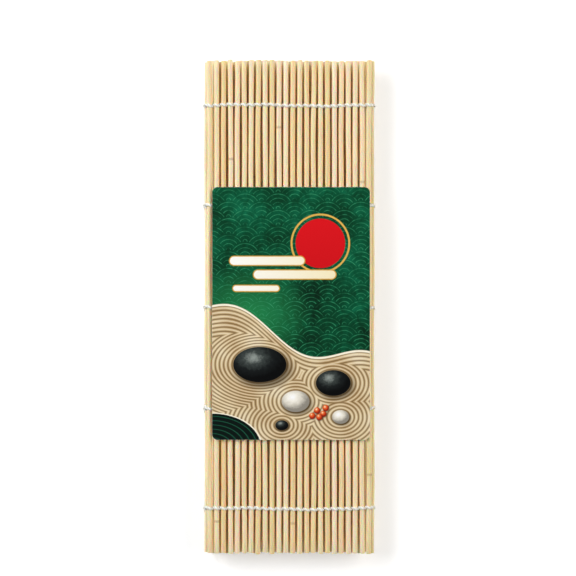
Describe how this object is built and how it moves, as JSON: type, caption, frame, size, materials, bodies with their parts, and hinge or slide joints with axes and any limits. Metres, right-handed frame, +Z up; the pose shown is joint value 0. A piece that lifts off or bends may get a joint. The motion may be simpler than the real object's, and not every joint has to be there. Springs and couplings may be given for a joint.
{
  "type": "sushi rolling mat",
  "caption": "Bamboo rolling mat of round slats bound by cotton twine, folded in three with a printed card on top; it unfolds flat and its top panel rolls into a tube.",
  "frame": {"origin": "under the middle of the folded mat, on the surface it lies on", "axes": "+X across the slats, towards the fold that joins the middle and top panels; +Y along the slats; +Z up, out of the card's printed face"},
  "size_m": [0.0948, 0.27, 0.0141],
  "materials": {
    "bamboo": "split, rounded and left raw",
    "cotton_twine": "plied and unbleached",
    "card": "printed and satin varnished"
  },
  "bodies": {
    "bottom_panel": {"bottom_slats": "bamboo", "bottom_twine": "cotton_twine"},
    "left_fold": {"left_fold_slat": "bamboo", "left_fold_twine": "cotton_twine"},
    "middle_lead": {"middle_lead_slat": "bamboo", "middle_lead_twine": "cotton_twine"},
    "middle_panel": {"middle_slats": "bamboo", "middle_twine": "cotton_twine"},
    "right_fold": {"right_fold_slat": "bamboo", "right_fold_twine": "cotton_twine"},
    "top_01": {"top_slat_01": "bamboo", "top_twine_01": "cotton_twine"},
    "top_02": {"top_slat_02": "bamboo", "top_twine_02": "cotton_twine", "label_card": "card"},
    "top_03": {"top_slat_03": "bamboo", "top_twine_03": "cotton_twine"},
    "top_04": {"top_slat_04": "bamboo", "top_twine_04": "cotton_twine"},
    "top_05": {"top_slat_05": "bamboo", "top_twine_05": "cotton_twine"},
    "top_06": {"top_slat_06": "bamboo", "top_twine_06": "cotton_twine"},
    "top_07": {"top_slat_07": "bamboo", "top_twine_07": "cotton_twine"},
    "top_08": {"top_slat_08": "bamboo", "top_twine_08": "cotton_twine"},
    "top_09": {"top_slat_09": "bamboo", "top_twine_09": "cotton_twine"},
    "top_10": {"top_slat_10": "bamboo", "top_twine_10": "cotton_twine"},
    "top_11": {"top_slat_11": "bamboo", "top_twine_11": "cotton_twine"},
    "top_12": {"top_slat_12": "bamboo", "top_twine_12": "cotton_twine"},
    "top_13": {"top_slat_13": "bamboo", "top_twine_13": "cotton_twine"},
    "top_14": {"top_slat_14": "bamboo", "top_twine_14": "cotton_twine"},
    "top_15": {"top_slat_15": "bamboo", "top_twine_15": "cotton_twine"},
    "top_16": {"top_slat_16": "bamboo", "top_twine_16": "cotton_twine"},
    "top_17": {"top_slat_17": "bamboo", "top_twine_17": "cotton_twine"},
    "top_18": {"top_slat_18": "bamboo", "top_twine_18": "cotton_twine"},
    "top_19": {"top_slat_19": "bamboo", "top_twine_19": "cotton_twine"},
    "top_20": {"top_slat_20": "bamboo", "top_twine_20": "cotton_twine"},
    "top_21": {"top_slat_21": "bamboo", "top_twine_21": "cotton_twine"},
    "top_22": {"top_slat_22": "bamboo", "top_twine_22": "cotton_twine"},
    "top_23": {"top_slat_23": "bamboo", "top_twine_23": "cotton_twine"},
    "top_24": {"top_slat_24": "bamboo", "top_twine_24": "cotton_twine"}
  },
  "joints": [
    {"name": "fold_left_lower", "type": "hinge", "parent": "bottom_panel", "child": "left_fold", "pos_m": [-0.04347, 0, 0.00213], "axis": [0, -1, 0], "range_deg": [0, 63.72]},
    {"name": "unfold", "type": "hinge", "parent": "left_fold", "child": "middle_lead", "pos_m": [-0.04514, 0, 0.00551], "axis": [0, -1, 0], "range_deg": [0, 96.8]},
    {"name": "fold_left_upper", "type": "hinge", "parent": "middle_lead", "child": "middle_panel", "pos_m": [-0.04158, 0, 0.00677], "axis": [0, -1, 0], "range_deg": [0, 19.48]},
    {"name": "fold_right_lower", "type": "hinge", "parent": "middle_panel", "child": "right_fold", "pos_m": [0.04158, 0, 0.00677], "axis": [0, 1, 0], "range_deg": [0, 19.48]},
    {"name": "fold_right_apex", "type": "hinge", "parent": "right_fold", "child": "top_01", "pos_m": [0.04514, 0, 0.00804], "axis": [0, 1, 0], "range_deg": [0, 96.8]},
    {"name": "fold_right_upper", "type": "hinge", "parent": "top_01", "child": "top_02", "pos_m": [0.04347, 0, 0.01142], "axis": [0, 1, 0], "range_deg": [0, 63.72]},
    {"name": "roll_01", "type": "hinge", "parent": "top_02", "child": "top_03", "pos_m": [0.03969, 0, 0.01142], "axis": [0, 1, 0], "range_deg": [0, 13.5], "deforming": ["label_card"]},
    {"name": "roll_02", "type": "hinge", "parent": "top_03", "child": "top_04", "pos_m": [0.03591, 0, 0.01142], "axis": [0, 1, 0], "range_deg": [0, 13.5]},
    {"name": "roll_03", "type": "hinge", "parent": "top_04", "child": "top_05", "pos_m": [0.03213, 0, 0.01142], "axis": [0, 1, 0], "range_deg": [0, 13.5]},
    {"name": "roll_04", "type": "hinge", "parent": "top_05", "child": "top_06", "pos_m": [0.02835, 0, 0.01142], "axis": [0, 1, 0], "range_deg": [0, 13.5]},
    {"name": "roll_05", "type": "hinge", "parent": "top_06", "child": "top_07", "pos_m": [0.02457, 0, 0.01142], "axis": [0, 1, 0], "range_deg": [0, 13.5]},
    {"name": "roll_06", "type": "hinge", "parent": "top_07", "child": "top_08", "pos_m": [0.02079, 0, 0.01142], "axis": [0, 1, 0], "range_deg": [0, 13.5]},
    {"name": "roll_07", "type": "hinge", "parent": "top_08", "child": "top_09", "pos_m": [0.01701, 0, 0.01142], "axis": [0, 1, 0], "range_deg": [0, 13.5]},
    {"name": "roll_08", "type": "hinge", "parent": "top_09", "child": "top_10", "pos_m": [0.01323, 0, 0.01142], "axis": [0, 1, 0], "range_deg": [0, 13.5]},
    {"name": "roll_09", "type": "hinge", "parent": "top_10", "child": "top_11", "pos_m": [0.00945, 0, 0.01142], "axis": [0, 1, 0], "range_deg": [0, 13.5]},
    {"name": "roll_10", "type": "hinge", "parent": "top_11", "child": "top_12", "pos_m": [0.00567, 0, 0.01142], "axis": [0, 1, 0], "range_deg": [0, 13.5]},
    {"name": "roll_11", "type": "hinge", "parent": "top_12", "child": "top_13", "pos_m": [0.00189, 0, 0.01142], "axis": [0, 1, 0], "range_deg": [0, 13.5]},
    {"name": "roll_12", "type": "hinge", "parent": "top_13", "child": "top_14", "pos_m": [-0.00189, 0, 0.01142], "axis": [0, 1, 0], "range_deg": [0, 13.5]},
    {"name": "roll_13", "type": "hinge", "parent": "top_14", "child": "top_15", "pos_m": [-0.00567, 0, 0.01142], "axis": [0, 1, 0], "range_deg": [0, 13.5]},
    {"name": "roll_14", "type": "hinge", "parent": "top_15", "child": "top_16", "pos_m": [-0.00945, 0, 0.01142], "axis": [0, 1, 0], "range_deg": [0, 13.5]},
    {"name": "roll_15", "type": "hinge", "parent": "top_16", "child": "top_17", "pos_m": [-0.01323, 0, 0.01142], "axis": [0, 1, 0], "range_deg": [0, 13.5]},
    {"name": "roll_16", "type": "hinge", "parent": "top_17", "child": "top_18", "pos_m": [-0.01701, 0, 0.01142], "axis": [0, 1, 0], "range_deg": [0, 13.5]},
    {"name": "roll_17", "type": "hinge", "parent": "top_18", "child": "top_19", "pos_m": [-0.02079, 0, 0.01142], "axis": [0, 1, 0], "range_deg": [0, 13.5]},
    {"name": "roll_18", "type": "hinge", "parent": "top_19", "child": "top_20", "pos_m": [-0.02457, 0, 0.01142], "axis": [0, 1, 0], "range_deg": [0, 13.5]},
    {"name": "roll_19", "type": "hinge", "parent": "top_20", "child": "top_21", "pos_m": [-0.02835, 0, 0.01142], "axis": [0, 1, 0], "range_deg": [0, 13.5]},
    {"name": "roll_20", "type": "hinge", "parent": "top_21", "child": "top_22", "pos_m": [-0.03213, 0, 0.01142], "axis": [0, 1, 0], "range_deg": [0, 13.5]},
    {"name": "roll_21", "type": "hinge", "parent": "top_22", "child": "top_23", "pos_m": [-0.03591, 0, 0.01142], "axis": [0, 1, 0], "range_deg": [0, 13.5]},
    {"name": "roll_22", "type": "hinge", "parent": "top_23", "child": "top_24", "pos_m": [-0.03969, 0, 0.01142], "axis": [0, 1, 0], "range_deg": [0, 13.5]}
  ],
  "couplings": [
    {"joint": "fold_left_lower", "follows": "unfold", "ratio": 0.65829},
    {"joint": "fold_left_upper", "follows": "unfold", "ratio": 0.20127},
    {"joint": "fold_right_lower", "follows": "unfold", "ratio": 0.20127},
    {"joint": "fold_right_apex", "follows": "unfold", "ratio": 1},
    {"joint": "fold_right_upper", "follows": "unfold", "ratio": 0.65829},
    {"joint": "roll_02", "follows": "roll_01", "ratio": 1},
    {"joint": "roll_03", "follows": "roll_01", "ratio": 1},
    {"joint": "roll_04", "follows": "roll_01", "ratio": 1},
    {"joint": "roll_05", "follows": "roll_01", "ratio": 1},
    {"joint": "roll_06", "follows": "roll_01", "ratio": 1},
    {"joint": "roll_07", "follows": "roll_01", "ratio": 1},
    {"joint": "roll_08", "follows": "roll_01", "ratio": 1},
    {"joint": "roll_09", "follows": "roll_01", "ratio": 1},
    {"joint": "roll_10", "follows": "roll_01", "ratio": 1},
    {"joint": "roll_11", "follows": "roll_01", "ratio": 1},
    {"joint": "roll_12", "follows": "roll_01", "ratio": 1},
    {"joint": "roll_13", "follows": "roll_01", "ratio": 1},
    {"joint": "roll_14", "follows": "roll_01", "ratio": 1},
    {"joint": "roll_15", "follows": "roll_01", "ratio": 1},
    {"joint": "roll_16", "follows": "roll_01", "ratio": 1},
    {"joint": "roll_17", "follows": "roll_01", "ratio": 1},
    {"joint": "roll_18", "follows": "roll_01", "ratio": 1},
    {"joint": "roll_19", "follows": "roll_01", "ratio": 1},
    {"joint": "roll_20", "follows": "roll_01", "ratio": 1},
    {"joint": "roll_21", "follows": "roll_01", "ratio": 1},
    {"joint": "roll_22", "follows": "roll_01", "ratio": 1}
  ]
}
